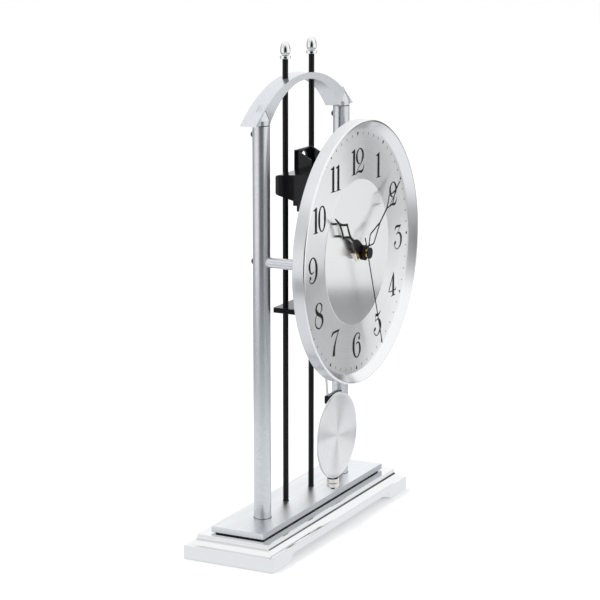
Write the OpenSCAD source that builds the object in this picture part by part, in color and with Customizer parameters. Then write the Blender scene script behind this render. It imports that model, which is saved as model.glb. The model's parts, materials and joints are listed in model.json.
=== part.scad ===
// Mantel clock with a free pendulum: a stepped metal base carries two columns and
// a flat arch; two thin rods run up between them; the dial stands forward of the
// columns on two tubes and carries a quartz movement on its back.
// Millimetres. +Z is up, the dial faces -Y, and the origin is on the table,
// below the middle of the whole clock.

/* [Base] */
// Width of the bottom tier
plinth_w = 218.3; // [200:0.5:240]
// Depth of the bottom tier
plinth_d = 69.5; // [66:0.5:80]
// Height of the bottom tier
plinth_h = 10; // [9:0.5:14]
// Width of each foot under the bottom tier
foot_w = 27.5; // [20:0.5:30]
// Height of the gap between the feet
channel_h = 5.5; // [4.5:0.1:5.5]
// Width of the moulded middle tier at its top
moulding_w = 204; // [200:0.5:206]
// Depth of the moulded middle tier at its top
moulding_d = 55.5; // [50:0.5:57]
// Height of the moulded middle tier
moulding_h = 7; // [7:0.5:9]
// Radius of the hollow that runs round the middle tier
cove_r = 6; // [3:0.5:6]
// Height of the dark line under the top plate
shadow_h = 0.9; // [0.6:0.1:3]
// Width of the brushed top plate
plate_w = 191.5; // [180:0.5:196]
// Depth of the brushed top plate
plate_d = 40.5; // [36:0.5:46]
// Thickness of the brushed top plate
plate_t = 4; // [2.5:0.5:4.5]

/* [Frame] */
// Diameter of each column
column_dia = 12; // [11:0.5:13]
// Wall of each column tube
column_wall = 1; // [0.8:0.1:1.2]
// Distance between the column axes
column_pitch = 123; // [118:0.5:128]
// Height of the column tops above the table
column_top = 296.8; // [290:0.5:297]
// Diameter of each thin rod
rod_dia = 4; // [3.6:0.1:4.2]
// Distance between the rod axes
rod_pitch = 40; // [36:0.5:44]
// Height of the rod tops above the table
rod_top = 338; // [334:0.5:340]
// Height of the turned cap on each rod
finial_h = 12; // [11:0.5:14]
// Radius of the arch's outer edge
arch_outer_r = 111.2; // [110:0.2:113]
// Radius of the arch's inner edge
arch_inner_r = 71.4; // [71:0.2:72]
// Height of the arch's crown above the table
arch_top = 326.4; // [326:0.2:327]
// Thickness of the arch at its crown
arch_band = 4.3; // [4:0.1:4.6]
// Depth of the arch from front to back
arch_d = 12; // [11:0.5:13]

/* [Dial] */
// Height of the hand axis above the table
dial_z = 203.6; // [203:0.1:204.5]
// Outer radius of the bezel
bezel_r = 92.5; // [91:0.5:94]
// Depth of the bezel's wall
bezel_d = 9.3; // [9:0.1:10]
// Width of the step cut into the lower back of the bezel
notch_w = 78; // [70:1:84]
// Radius of the plain disc in the middle of the dial
disc_r = 51; // [48:0.5:54]
// Diameter of the tubes that carry the dial
standoff_dia = 7.3; // [6.5:0.1:8]

/* [Hands] */
// Length of the hour hand from its axis
hour_len = 53.3; // [50:0.1:56]
// Length of the minute hand from its axis
minute_len = 71.5; // [66:0.1:76]
// Length of the second hand from its axis
second_len = 74; // [66:0.1:78]
// Direction of the hour hand, clockwise from twelve
hour_at = 305; // [0:0.5:360]
// Direction of the minute hand, clockwise from twelve
minute_at = 53.5; // [0:0.5:360]
// Direction of the second hand, clockwise from twelve
second_at = 160; // [0:0.5:360]

/* [Movement] */
// Width of the movement
case_w = 88; // [87:0.5:89]
// Thickness of the movement's moulded walls
case_wall = 1.4; // [1.2:0.1:1.6]
// Distance between a wheel's axis and the next one in the time trains
train_module = 0.36; // [0.35:0.01:0.36]
// Play between gear teeth at the pitch circle
gear_play = 0.08; // [0.06:0.01:0.1]

/* [Pendulum] */
// Diameter of the pendulum bob
bob_dia = 62; // [58:0.5:64]
// Height of the bob's centre above the table
bob_z = 69.4; // [69:0.1:72]
// Height of the pendulum's pivot above the table
pivot_z = 252; // [251:0.5:253]

/* [Hidden] */
$fn = 96;

// play left round parts that are pushed together, on the radius
fit = 0.05;

// places from front to back: the base's middle is set so that the clock as a
// whole is centred on the origin, and every other plane follows from it
cap_reach = 54.5;
base_y = (cap_reach - plinth_d / 2) / 2;
column_y = base_y - 1.55;
rod_y = base_y + 1.55;
rim_y = base_y - 50;
dial_y = base_y - 44.3;
dial_t = 1;
dial_back_y = dial_y + dial_t;
bush_flange = 0.8;
case_y = dial_back_y + bush_flange;
case_back_y = base_y - 23.2;
ledge_back_y = base_y - 1.3;
pendulum_y = base_y - 26;

// heights in the base
moulding_z = plinth_h;
spacer_z = moulding_z + moulding_h;
plate_z = spacer_z + shadow_h;
deck_z = plate_z + plate_t;
pad_h = 0.5;
pad_pocket = 1;
pad_r = 7;
seat_depth = 0.6;
column_z = deck_z - seat_depth;
plinth_front_y = base_y - plinth_d / 2;

// columns, arch and their screws
column_x = column_pitch / 2;
rod_x = rod_pitch / 2;
column_r = column_dia / 2;
tube_r = column_r - column_wall;
rod_r = rod_dia / 2;
plug_len = 24;
spigot_len = 14;
joint_gap = 0.6;
arch_foot_z = column_top + joint_gap;
arch_y = rod_y - arch_d / 2;
arch_outer_z = arch_top - arch_outer_r;
arch_inner_z = arch_top - arch_band - arch_inner_r;
arch_screw_z = column_top - 6;
screw_r = 2;
small_screw_r = 1.25;
dome_r = 2.4;
dome_h = 1.8;
standoff_r = standoff_dia / 2;
standoff_len = column_y - column_r - dial_back_y;
stud_len = 8;

// base fasteners
base_screw_r = 2.5;
base_screw_head_r = 4.2;
base_screw_head_h = 3;
head_pocket_r = base_screw_head_r + 0.2;
nut_pocket_r = 4.4;
rod_nut_r = 4.04;
rod_stud_r = 1.25;
socket_r = 2.3;
socket_depth = 1.6;
head_pocket_h = 3.4;
nut_h = 3;

// dial and bezel
bezel_wall = 1.2;
rim_r = bezel_r - 0.8;
well_r = 86;
plate_r = bezel_r - bezel_wall - fit;
disc_t = 0.3;
notch_skin = 2.6;
bush_r = 4;
nut_t = 2;
dial_nut_r = 6.6;
washer_r = 6.8;
washer_t = 0.5;
disc_y = dial_y - disc_t;
bush_tip_y = dial_y - 3.3;

// hands: the front face of each blade and the thickness of the sheet
blade_t = 0.4;
hour_blade_y = base_y - 48.8;
minute_blade_y = base_y - 50.9;
second_blade_y = base_y - 52.6;
second_cap_r = 3.95;
second_cap_t = 1;
second_neck_r = 2.2;
hour_boss_r = 5.25;
minute_boss_r = 5.4;
boss_lip = 0.1;
boss_t = 0.8;
second_tube_r = 0.5;
minute_tube_r = 1.5;
hour_tube_r = 2.4;

// movement case
case_x = case_w / 2;
case_top = 236.8;
case_bottom = 163.5;
split_y = base_y - 31;
bay_x = 29;
bay_half = 8.6;
bay_z0 = 176.5;
bay_z1 = 231;
bay_back_y = base_y - 21;
channel_floor_y = base_y - 28.8;
channel_skin = 0.8;
ledge_z0 = 164.6;
ledge_z1 = 168.3;
housing_z0 = 237;
button_x = -34;
button_r = 2.2;
button_z = [192, 206];
cell_r = 7.1;
cell_len = 50;
hanger_half = 12.3;
hanger_wall = 1.6;
hanger_hole_z = 267;

// wheels: teeth, modules and the layer that each one turns in
pressure = 28;
wheel_t = 0.8;
pinion_t = 0.8;
layer_pitch = 1.15;
arbor_r = 0.5;
hub_r = 0.95;
post_r = 1.6;
fine_module = 0.3;
motion_module = 10 / 24;
hour_module = 10 / 25;
train_teeth = 48;
train_pinion = 8;
rotor_pinion = 10;
step_teeth = 50;
cannon_teeth = 12;
motion_teeth = 36;
motion_pinion = 10;
hour_teeth = 40;
train_a = train_module * (train_teeth + train_pinion) / 2;
step_a = fine_module * (step_teeth + rotor_pinion) / 2;
motion_a = motion_module * (cannon_teeth + motion_teeth) / 2;
front_pivot_y = case_y + 0.5;
bridge_y = base_y - 31;
bridge_t = 1;
magnet_y = base_y - 33.9;
magnet_len = 2.4;
magnet_r = 2;
stator_y = base_y - 33.2;
stator_t = 1;

// directions from one wheel to the next, anticlockwise from +X as seen from the front
to_seconds_wheel = 200;
to_seconds_rotor = 150;
to_third = -60;
to_minutes_wheel = -100;
to_minutes_rotor = 200;
to_motion = 90;
centre_at = [0, dial_z];
seconds_wheel_at = centre_at + train_a * dir(to_seconds_wheel);
seconds_rotor_at = seconds_wheel_at + step_a * dir(to_seconds_rotor);
third_at = centre_at + train_a * dir(to_third);
minutes_wheel_at = third_at + train_a * dir(to_minutes_wheel);
minutes_rotor_at = minutes_wheel_at + step_a * dir(to_minutes_rotor);
motion_at = centre_at + motion_a * dir(to_motion);
core_offset = 12.7;
coil_half = 6.2;
coil_r = 3.2;
core_half = [1, 0.5];
posts = [centre_at + [11.5, 14.5], centre_at + [11.5, -25.5], centre_at + [-19.5, 14.5]];

// pendulum
swing_coil_z = 229.6;
swing_coil_r = 5.6;
swing_magnet_r = 4;
pivot_pin_r = 0.98;
pivot_hole_r = 1.03;
stem_half = 3;
stem_t = 2.4;
hanger_bar_z = 152;
wire_r = 0.8;
wire_top_x = 17.5;
wire_low_x = 8.4;
wire_low_z = 99;
holder_z = 95;
bob_y = base_y - 30;
bob_t = 1.7;
thread_r = 1.5;
thread_end_z = 29;
nut_r = 4.5;
rating_nut_h = 2.8;
guide_z0 = 37;
guide_z1 = 62;

function dir(a) = [cos(a), sin(a)];
// layer 0 is against the case front, the last one is by the bridge
function layer(k) = base_y - 40.8 + k * layer_pitch;
function arc(r, from, to, steps, at = [0, 0]) =
    [for (i = [0:steps]) at + r * dir(from + (to - from) * i / steps)];
function mirrored(half) = concat(half, [for (i = [len(half) - 1:-1:0]) [half[i][0], -half[i][1]]]);
function clamp(x) = min(1, max(0, x));
function smooth(x) = clamp(x) * clamp(x) * (3 - 2 * clamp(x));

// involute gear outline
function roll(r, base_r) = r > base_r ? sqrt(r * r / (base_r * base_r) - 1) * 180 / PI - acos(base_r / r) : 0;
function tooth_half(r, teeth, m) =
    let (pitch_r = teeth * m / 2, base_r = pitch_r * cos(pressure))
    90 / teeth - gear_play / 2 / pitch_r * 90 / PI + roll(pitch_r, base_r) - roll(max(r, base_r), base_r);
function tooth_radii(teeth, m) =
    let (pitch_r = teeth * m / 2, root_r = pitch_r - 1.05 * m, tip_r = pitch_r + 0.8 * m)
    let (base_r = pitch_r * cos(pressure))
    root_r < base_r ? [root_r, base_r, pitch_r, tip_r] : [root_r, pitch_r, tip_r];
function gear_points(teeth, m) =
    let (radii = tooth_radii(teeth, m), n = len(radii))
    [for (i = [0:teeth - 1]) for (k = [0:2 * n - 1])
        let (up = k < n, r = up ? radii[k] : radii[2 * n - 1 - k])
        r * dir(360 * i / teeth + (up ? -1 : 1) * tooth_half(r, teeth, m))];

// extrudes a front-view outline (x, z) backwards from plane y0
module from_front(y0, depth) {
    translate([0, y0 + depth, 0]) rotate([90, 0, 0]) linear_extrude(depth) children();
}

// a cylinder along Y from plane y0 backwards, centred on [x, z]
module pin_y(at, r, y0, length) {
    translate([at[0], y0 + length, at[1]]) rotate([90, 0, 0]) cylinder(r = r, h = length);
}

module gear(at, teeth, m, y0, thick, phase) {
    from_front(y0, thick) translate(at) rotate(phase) polygon(gear_points(teeth, m));
}

module wheel_pair(at, teeth, m, y0, phase, pinion_teeth, pinion_m, pinion_y, pinion_phase) {
    gear(at, teeth, m, y0, wheel_t, phase);
    gear(at, pinion_teeth, pinion_m, pinion_y, pinion_t, pinion_phase);
    pin_y(at, arbor_r, front_pivot_y, bridge_y + bridge_t - front_pivot_y);
    hub_y = min(y0, pinion_y) + wheel_t;
    pin_y(at, hub_r, hub_y, abs(y0 - pinion_y) - wheel_t);
}

// box given by its two corners
module block(low, high) {
    translate(low) cube(high - low);
}

module both_sides() {
    children();
    mirror([1, 0, 0]) children();
}

// ---- base ----

module foot_pads() {
    color("dimgray")
    for (x = [-1, 1]) for (y = [-1, 1])
        translate([x * (plinth_w - foot_w) / 2, base_y + y * (plinth_d / 2 - 12), 0])
            cylinder(r = pad_r, h = pad_h + pad_pocket);
}

module channel_outline() {
    half = plinth_w / 2 - foot_w;
    corner_r = channel_h - pad_h - 0.2;
    polygon(concat([[half + 1, -1], [half + 0.6, pad_h]],
        arc(corner_r, 0, 90, 8, [half - corner_r, channel_h - corner_r]),
        arc(corner_r, 90, 180, 8, [corner_r - half, channel_h - corner_r]),
        [[-half - 0.6, pad_h], [-half - 1, -1]]));
}

module base_plinth() {
    color("silver")
    difference() {
        block([-plinth_w / 2, plinth_front_y, pad_h], [plinth_w / 2, plinth_front_y + plinth_d, plinth_h]);
        from_front(plinth_front_y - 1, plinth_d + 2) channel_outline();
        for (x = [-1, 1]) {
            for (y = [-1, 1])
                translate([x * (plinth_w - foot_w) / 2, base_y + y * (plinth_d / 2 - 12), 0])
                    cylinder(r = pad_r + fit, h = pad_h + pad_pocket);
            translate([x * column_x, column_y, 0]) cylinder(r = base_screw_r + fit, h = plinth_h + 1);
            translate([x * column_x, column_y, 0]) cylinder(r = head_pocket_r, h = channel_h + head_pocket_h);
            translate([x * rod_x, rod_y, 0]) cylinder(r = rod_r + fit, h = plinth_h + 1);
            translate([x * rod_x, rod_y, 0]) cylinder(r = nut_pocket_r, h = channel_h + head_pocket_h);
        }
    }
}

module base_moulding() {
    half_w = moulding_w / 2;
    half_d = moulding_d / 2;
    cove_z = moulding_z + cove_r;
    color("silver")
    difference() {
        block([-half_w - cove_r, base_y - half_d - cove_r, moulding_z],
            [half_w + cove_r, base_y + half_d + cove_r, spacer_z]);
        for (side = [-1, 1]) {
            translate([0, base_y + side * (half_d + cove_r), cove_z])
                rotate([0, 90, 0]) cylinder(r = cove_r, h = plinth_w + 2, center = true);
            translate([side * (half_w + cove_r), base_y, cove_z])
                rotate([90, 0, 0]) cylinder(r = cove_r, h = plinth_d + 2, center = true);
            translate([0, base_y + side * (half_d + cove_r), cove_z + cove_r])
                cube([plinth_w + 2, 2 * cove_r, 2 * cove_r], center = true);
            translate([side * (half_w + cove_r), base_y, cove_z + cove_r])
                cube([2 * cove_r, plinth_d + 2, 2 * cove_r], center = true);
            translate([side * column_x, column_y, 0]) cylinder(r = base_screw_r + fit, h = spacer_z + 1);
            translate([side * rod_x, rod_y, 0]) cylinder(r = rod_r + fit, h = spacer_z + 1);
        }
    }
}

module base_spacer() {
    inset = 2.2;
    color("black")
    difference() {
        block([inset - plate_w / 2, base_y - plate_d / 2 + inset, spacer_z],
            [plate_w / 2 - inset, base_y + plate_d / 2 - inset, plate_z]);
        for (side = [-1, 1]) {
            translate([side * column_x, column_y, 0]) cylinder(r = base_screw_r + fit, h = deck_z);
            translate([side * rod_x, rod_y, 0]) cylinder(r = rod_r + fit, h = deck_z);
        }
    }
}

module base_plate() {
    color("lightgray")
    difference() {
        block([-plate_w / 2, base_y - plate_d / 2, plate_z], [plate_w / 2, base_y + plate_d / 2, deck_z]);
        for (side = [-1, 1]) {
            translate([side * column_x, column_y, 0]) cylinder(r = base_screw_r + fit, h = deck_z + 1);
            translate([side * column_x, column_y, column_z]) cylinder(r = column_r + 0.35, h = seat_depth + 1);
            translate([side * rod_x, rod_y, 0]) cylinder(r = rod_r + 0.15, h = deck_z + 1);
        }
    }
}

module base_screws() {
    color("dimgray")
    for (side = [-1, 1]) translate([side * column_x, column_y, channel_h + head_pocket_h])
        difference() {
            union() {
                cylinder(r = base_screw_r, h = column_z + 14 - channel_h - head_pocket_h);
                translate([0, 0, -base_screw_head_h]) cylinder(r = base_screw_head_r, h = base_screw_head_h);
            }
            translate([0, 0, -base_screw_head_h - 1]) cylinder(r = socket_r, h = socket_depth + 1, $fn = 6);
        }
}

module rod_nuts() {
    color("silver")
    for (side = [-1, 1]) translate([side * rod_x, rod_y, channel_h + head_pocket_h - nut_h])
        difference() {
            cylinder(r = rod_nut_r, h = nut_h, $fn = 6);
            translate([0, 0, -1]) cylinder(r = rod_r + fit, h = nut_h + 2);
        }
}

// ---- columns, arch and rods ----

module column(side) {
    color("silver")
    difference() {
        translate([side * column_x, column_y, column_z]) cylinder(r = column_r, h = column_top - column_z);
        translate([side * column_x, column_y, column_z - 1]) cylinder(r = tube_r, h = column_top);
        pin_y([side * column_x, dial_z], screw_r + fit, column_y - column_r - 1, column_dia + 2);
        pin_y([side * column_x, arch_screw_z], small_screw_r + fit, column_y, column_r + 1);
    }
}

module column_left() column(-1);
module column_right() column(1);

module column_plugs() {
    color("gray")
    for (side = [-1, 1]) translate([side * column_x, column_y, column_z])
        difference() {
            cylinder(r = tube_r - fit, h = plug_len);
            translate([0, 0, -1]) cylinder(r = base_screw_r + fit, h = 18);
        }
}

module arch_outline() {
    far = arch_outer_r + 20;
    difference() {
        translate([0, arch_outer_z]) circle(r = arch_outer_r, $fn = 180);
        translate([0, arch_inner_z]) circle(r = arch_inner_r, $fn = 180);
        translate([-far, arch_foot_z - 2 * far]) square([2 * far, 2 * far]);
    }
}

module arch() {
    color("silver")
    difference() {
        union() {
            from_front(arch_y, arch_d) arch_outline();
            for (side = [-1, 1]) translate([side * column_x, column_y, arch_foot_z]) {
                cylinder(r = column_r, h = 3);
                translate([0, 0, 3]) cylinder(r1 = column_r, r2 = 1.6, h = 10);
                translate([0, 0, -spigot_len]) cylinder(r = tube_r - fit, h = spigot_len + 1);
            }
        }
        for (side = [-1, 1]) {
            translate([side * rod_x, rod_y, arch_foot_z]) cylinder(r = rod_r + 0.15, h = 40);
            pin_y([side * column_x, arch_screw_z], small_screw_r + fit, column_y - 2, 12);
        }
    }
}

module dome_screw(at, shank_r, shank_len) {
    back_y = column_y + column_r;
    pin_y(at, shank_r, back_y - shank_len, shank_len);
    sphere_r = (dome_r * dome_r + dome_h * dome_h) / (2 * dome_h);
    difference() {
        translate([at[0], back_y + dome_h - sphere_r, at[1]]) sphere(r = sphere_r, $fn = 64);
        translate([at[0], back_y - 10, at[1]]) cube([20, 20, 20], center = true);
        pin_y(at, 0.9, back_y + dome_h - 0.9, 2);
    }
}

module arch_screws() {
    color("dimgray")
    for (side = [-1, 1]) dome_screw([side * column_x, arch_screw_z], small_screw_r, column_r + 1.8);
}

module rod(side) {
    color("black")
    translate([side * rod_x, rod_y, channel_h + head_pocket_h - nut_h]) {
        cylinder(r = rod_r, h = rod_top - channel_h - head_pocket_h + nut_h);
        cylinder(r = rod_stud_r, h = rod_top + 5.5 - channel_h - head_pocket_h + nut_h);
    }
}

module rod_left() rod(-1);
module rod_right() rod(1);

module rod_finials() {
    egg_h = finial_h - 2;
    color("gainsboro")
    for (side = [-1, 1]) translate([side * rod_x, rod_y, rod_top])
        difference() {
            rotate_extrude() polygon(concat([[0, 0], [3.6, 0], [3.8, 0.2], [3.8, 1.9], [3.6, 2.1], [2.1, 2.3]],
                [for (i = [1:24]) let (t = i / 24)
                    [i == 24 ? 0 : 3.6 * pow(sin(180 * (0.2 + 0.8 * t)), 0.72) * (0.86 + 0.14 * sin(180 * t)),
                        2.3 + (egg_h - 0.3) * (1 - cos(180 * t)) / 2]]));
            translate([0, 0, -1]) cylinder(r = 1.25 + fit, h = 7);
        }
}

// ---- dial ----

module standoff(side) {
    at = [side * column_x, dial_z];
    color("silver")
    difference() {
        pin_y(at, standoff_r, dial_back_y, standoff_len + 1.6);
        translate([side * column_x, column_y, dial_z]) cylinder(r = column_r + 0.02, h = 12, center = true);
        pin_y(at, screw_r + fit, dial_back_y - 1, stud_len + 2);
        pin_y(at, screw_r + fit, column_y - column_r - 12, 20);
    }
}

module standoff_left() standoff(-1);
module standoff_right() standoff(1);

module standoff_screws() {
    color("dimgray")
    for (side = [-1, 1]) dome_screw([side * column_x, dial_z], screw_r, column_dia + 10);
}

module dial_studs() {
    color("gray")
    for (side = [-1, 1]) pin_y([side * column_x, dial_z], screw_r, dial_back_y, stud_len);
}

module dial_bezel() {
    back = bezel_d;
    seat = dial_y - rim_y;
    inner = bezel_r - bezel_wall;
    color("gainsboro")
    difference() {
        translate([0, rim_y, dial_z]) rotate([-90, 0, 0])
            rotate_extrude($fn = 180) polygon(concat(
                [[inner, back], [inner, seat], [well_r, seat], [well_r + 0.5, seat - 0.5],
                    [rim_r - 1.3, 0.9], [rim_r - 0.9, 0.25], [rim_r - 0.5, 0]],
                arc(1.3, -90, 0, 6, [bezel_r - 1.3, 1.3]),
                [[bezel_r, back]]));
        difference() {
            block([-notch_w / 2, rim_y + notch_skin, dial_z - bezel_r - 1],
                [notch_w / 2, rim_y + bezel_d + 1, dial_z - bezel_r * 0.8]);
            pin_y([0, dial_z], inner, rim_y, seat);
        }
    }
}

module dial_plate() {
    color("lightgray")
    difference() {
        pin_y(centre_at, plate_r, dial_y, dial_t);
        pin_y(centre_at, bush_r + 0.1, dial_y - 1, dial_t + 2);
    }
}

module dial_centre_disc() {
    color("whitesmoke")
    difference() {
        pin_y(centre_at, disc_r, disc_y, disc_t);
        pin_y(centre_at, bush_r + 0.1, disc_y - 1, disc_t + 2);
    }
}

module centre_bush() {
    color("gold")
    difference() {
        union() {
            pin_y(centre_at, bush_r, bush_tip_y, case_y + case_wall - bush_tip_y);
            pin_y(centre_at, 7, dial_back_y, bush_flange);
        }
        pin_y(centre_at, hour_tube_r + fit, bush_tip_y - 1, 20);
    }
}

module centre_nut() {
    color("silver")
    difference() {
        union() {
            pin_y(centre_at, washer_r, disc_y - washer_t, washer_t);
            from_front(disc_y - nut_t, nut_t - washer_t) translate(centre_at) circle(r = dial_nut_r, $fn = 6);
        }
        pin_y(centre_at, bush_r + fit, disc_y - 5, 10);
    }
}

// ---- movement case ----

module case_front() {
    color("black")
    difference() {
        union() {
            difference() {
                block([-case_x, case_y, case_bottom], [case_x, split_y, case_top]);
                block([case_wall - case_x, case_y + case_wall, case_bottom + case_wall],
                    [case_x - case_wall, split_y + 1, case_top - case_wall]);
            }
            for (at = posts) pin_y(at, post_r, case_y + 1, bridge_y - case_y - 1);
        }
        pin_y(centre_at, bush_r + fit, case_y - 1, 5);
        for (at = [seconds_wheel_at, seconds_rotor_at, third_at, minutes_wheel_at, minutes_rotor_at, motion_at])
            pin_y(at, arbor_r + fit, front_pivot_y - 0.1, 3);
    }
}

module case_back() {
    gusset_y = case_back_y + 6;
    color("black")
    difference() {
        union() {
            difference() {
                block([-case_x, split_y, case_bottom], [case_x, case_back_y, case_top]);
                block([case_wall - case_x, split_y - 1, case_bottom + case_wall],
                    [case_x - case_wall, case_back_y - case_wall, case_top - case_wall]);
            }
            // walls and floor of the pendulum's channel
            for (side = [-1, 1]) {
                x0 = side > 0 ? 15 : -16.2;
                block([x0, channel_floor_y - channel_skin, case_bottom], [x0 + 1.2, case_back_y, case_top]);
            }
            block([-16, channel_floor_y - channel_skin, case_bottom], [16, channel_floor_y, case_top]);
            // raised bay for the cell
            block([bay_x - bay_half, split_y, bay_z0], [bay_x + bay_half, bay_back_y, bay_z1]);
            // ledge that keeps the movement square to a wall
            block([-case_x, case_back_y - 1, ledge_z0], [case_x, ledge_back_y, ledge_z1]);
            for (x = [-1, 1])
                translate([x > 0 ? case_x - 2 : -case_x, 0, 0]) rotate([90, 0, 90]) linear_extrude(2)
                    polygon([[case_back_y - 0.5, ledge_z1 + 3], [case_back_y + 1.5, ledge_z1 + 3],
                        [gusset_y, ledge_z1 - 0.5], [case_back_y - 0.5, ledge_z1 - 0.5]]);
        }
        // pendulum channel, open to the back and at both ends
        block([-15, channel_floor_y, case_bottom - 1], [15, case_back_y + 0.5, case_top + 1]);
        block([bay_x - bay_half + case_wall, split_y - 1, bay_z0 + case_wall],
            [bay_x + bay_half - case_wall, bay_back_y + 1, bay_z1 - case_wall]);
        for (z = button_z) pin_y([button_x, z], button_r + fit, case_back_y - 3, 6);
    }
}

// side outline (y, z) of the upper housing, pulled in by a wall thickness
function housing_side(w) = concat(
    [[case_y + (w > 0 ? -1 : 0), housing_z0 + w], [base_y - 19.5 - w, housing_z0 + w],
        [base_y - 19.5 - w, 243.3 + w]],
    arc(3.2 - w, -80, 0, 5, [ledge_back_y - 3.2, 250.4]),
    arc(4.2 - w, 0, 86, 6, [ledge_back_y - 4.2, 256.8]),
    [[base_y - 30, 262.8 - w], [case_y + (w > 0 ? -1 : 0), 263 - w]]);

module housing_solid(w) {
    corner = 4.5;
    intersection() {
        translate([w - case_x, 0, 0]) rotate([90, 0, 90]) linear_extrude(case_w - 2 * w) polygon(housing_side(w));
        linear_extrude(400) polygon(concat([[w - case_x, case_y - 2], [case_x - w, case_y - 2]],
            arc(corner - w, 0, 90, 8, [case_x - corner, ledge_back_y - corner]),
            arc(corner - w, 90, 180, 8, [corner - case_x, ledge_back_y - corner])));
    }
}

module hanger_side() {
    polygon([[base_y - 14.3, 260], [ledge_back_y, 258], [ledge_back_y, 273.4], [ledge_back_y - 0.6, 274],
        [ledge_back_y - 1.4, 274], [base_y - 14.3, 267.8]]);
}

module drive_housing() {
    color("black")
    difference() {
        union() {
            housing_solid(0);
            both_sides() translate([hanger_half - hanger_wall, 0, 0])
                rotate([90, 0, 90]) linear_extrude(hanger_wall) hanger_side();
            block([-hanger_half, ledge_back_y - hanger_wall, 259], [hanger_half, ledge_back_y, 274]);
            both_sides() block([case_x - 4, base_y - 18.6, 240.6], [case_x - 0.6, base_y - 16.4, 246]);
        }
        housing_solid(case_wall);
        pin_y([0, hanger_hole_z], 5, ledge_back_y - 4, 6);
        block([-7, pendulum_y - 4, housing_z0 - 1], [7, pendulum_y + 4, housing_z0 + 4]);
    }
}

module drive_cover() {
    color("black")
    difference() {
        union() {
            block([case_wall + 0.1 - case_x, case_y, housing_z0 + case_wall + 0.1],
                [case_x - case_wall - 0.1, case_y + 1.2, 263 - case_wall - 0.3]);
            pin_y([0, pivot_z], 3, case_y + 1, pendulum_y - 3 - case_y);
        }
        pin_y([0, pivot_z], 1, pendulum_y - 8, 20);
    }
}

// ---- electrics ----

module battery() {
    z0 = bay_z0 + case_wall + 0.8;
    color("steelblue")
    translate([bay_x, bay_back_y - 1 - cell_r, z0]) {
        cylinder(r = cell_r, h = cell_len - 1);
        cylinder(r = 2.6, h = cell_len);
    }
}

module battery_contacts() {
    z_low = bay_z0 + case_wall;
    color("silver") {
        translate([bay_x - 4, bay_back_y - 11, z_low]) cube([8, 6, 0.6]);
        translate([bay_x - 4, bay_back_y - 11, bay_z1 - case_wall - 0.6]) cube([8, 6, 0.6]);
    }
}

module circuit_board() {
    color("darkgreen")
    difference() {
        block([-41, base_y - 28.2, 172], [-19, base_y - 27.2, 232]);
        translate([-30, base_y - 27, 180]) rotate([90, 0, 0]) cylinder(r = 1.5, h = 4, center = true);
    }
}

module train_bridge() {
    color("dimgray")
    difference() {
        union() {
            block([-22, bridge_y, dial_z - 11], [14, bridge_y + bridge_t, dial_z + 17]);
            block([-12, bridge_y, dial_z - 28], [14, bridge_y + bridge_t, dial_z - 11]);
        }
        for (at = [centre_at, seconds_wheel_at, seconds_rotor_at, third_at, minutes_wheel_at,
                minutes_rotor_at, motion_at])
            pin_y(at, arbor_r + fit, bridge_y - 1, 3);
    }
}

// stator sheet round a rotor, with the core that runs through the coil on its left
module stator(at) {
    arm = coil_half + 3;
    color("gray")
    difference() {
        union() {
            from_front(stator_y, stator_t) translate(at) {
                translate([-4.5, -arm]) square([9, 2 * arm]);
                for (z = [-arm, coil_half]) translate([-core_offset - 3, z]) square([core_offset, 3]);
                translate([-core_offset - core_half[0], -arm]) square([2 * core_half[0], 2 * arm]);
            }
        }
        pin_y(at, magnet_r + 0.6, stator_y - 1, 3);
    }
}

module coil(at) {
    color("chocolate")
    translate([at[0] - core_offset, stator_y + stator_t / 2, at[1]])
        difference() {
            union() {
                cylinder(r = coil_r - 0.4, h = 2 * coil_half - 0.2, center = true);
                for (side = [-1, 1]) translate([0, 0, side * (coil_half - 0.5)])
                    cylinder(r = coil_r, h = 0.8, center = true);
            }
            cube([2 * core_half[0] + 0.1, 2 * core_half[1] + 0.1, 20], center = true);
        }
}

module rotor(at, phase) {
    color("firebrick") {
        pin_y(at, magnet_r, magnet_y, magnet_len);
        gear(at, rotor_pinion, fine_module, layer(5), pinion_t, phase);
        pin_y(at, arbor_r, front_pivot_y, bridge_y + bridge_t - front_pivot_y);
        pin_y(at, 0.9, layer(5) + pinion_t, magnet_y - layer(5) - pinion_t);
    }
}

module seconds_stator() stator(seconds_rotor_at);
module minutes_stator() stator(minutes_rotor_at);
module seconds_coil() coil(seconds_rotor_at);
module minutes_coil() coil(minutes_rotor_at);
module seconds_rotor() rotor(seconds_rotor_at, to_seconds_rotor + 180 + 180 / rotor_pinion);
module minutes_rotor() rotor(minutes_rotor_at, to_minutes_rotor + 180 + 180 / rotor_pinion);

module antenna() {
    at_y = base_y - 11.5;
    color("saddlebrown") {
        translate([-35, at_y, 254.3]) rotate([0, 90, 0]) cylinder(r = 4, h = 70);
        translate([-30, at_y, 254.3]) rotate([0, 90, 0])
            difference() {
                cylinder(r = 5.4, h = 22);
                translate([0, 0, -1]) cylinder(r = 4 + fit, h = 24);
            }
    }
}

module pendulum_coil() {
    color("chocolate")
    difference() {
        pin_y([0, swing_coil_z], swing_coil_r, base_y - 33, 3);
        pin_y([0, swing_coil_z], 2, base_y - 34, 5);
    }
}

// ---- wheels ----

module seconds_wheel() {
    color("ivory")
    wheel_pair(seconds_wheel_at, step_teeth, fine_module, layer(5), to_seconds_rotor,
        train_pinion, train_module, layer(4), to_seconds_wheel + 180);
}

module second_arbor() {
    tip_y = second_blade_y + 0.1;
    color("ivory") {
        gear(centre_at, train_teeth, train_module, layer(4), wheel_t,
            to_seconds_wheel + 180 / train_teeth);
        pin_y(centre_at, second_tube_r, tip_y, bridge_y + bridge_t - tip_y);
        pin_y(centre_at, 1.4, layer(4) + wheel_t, 0.5);
    }
}

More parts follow.
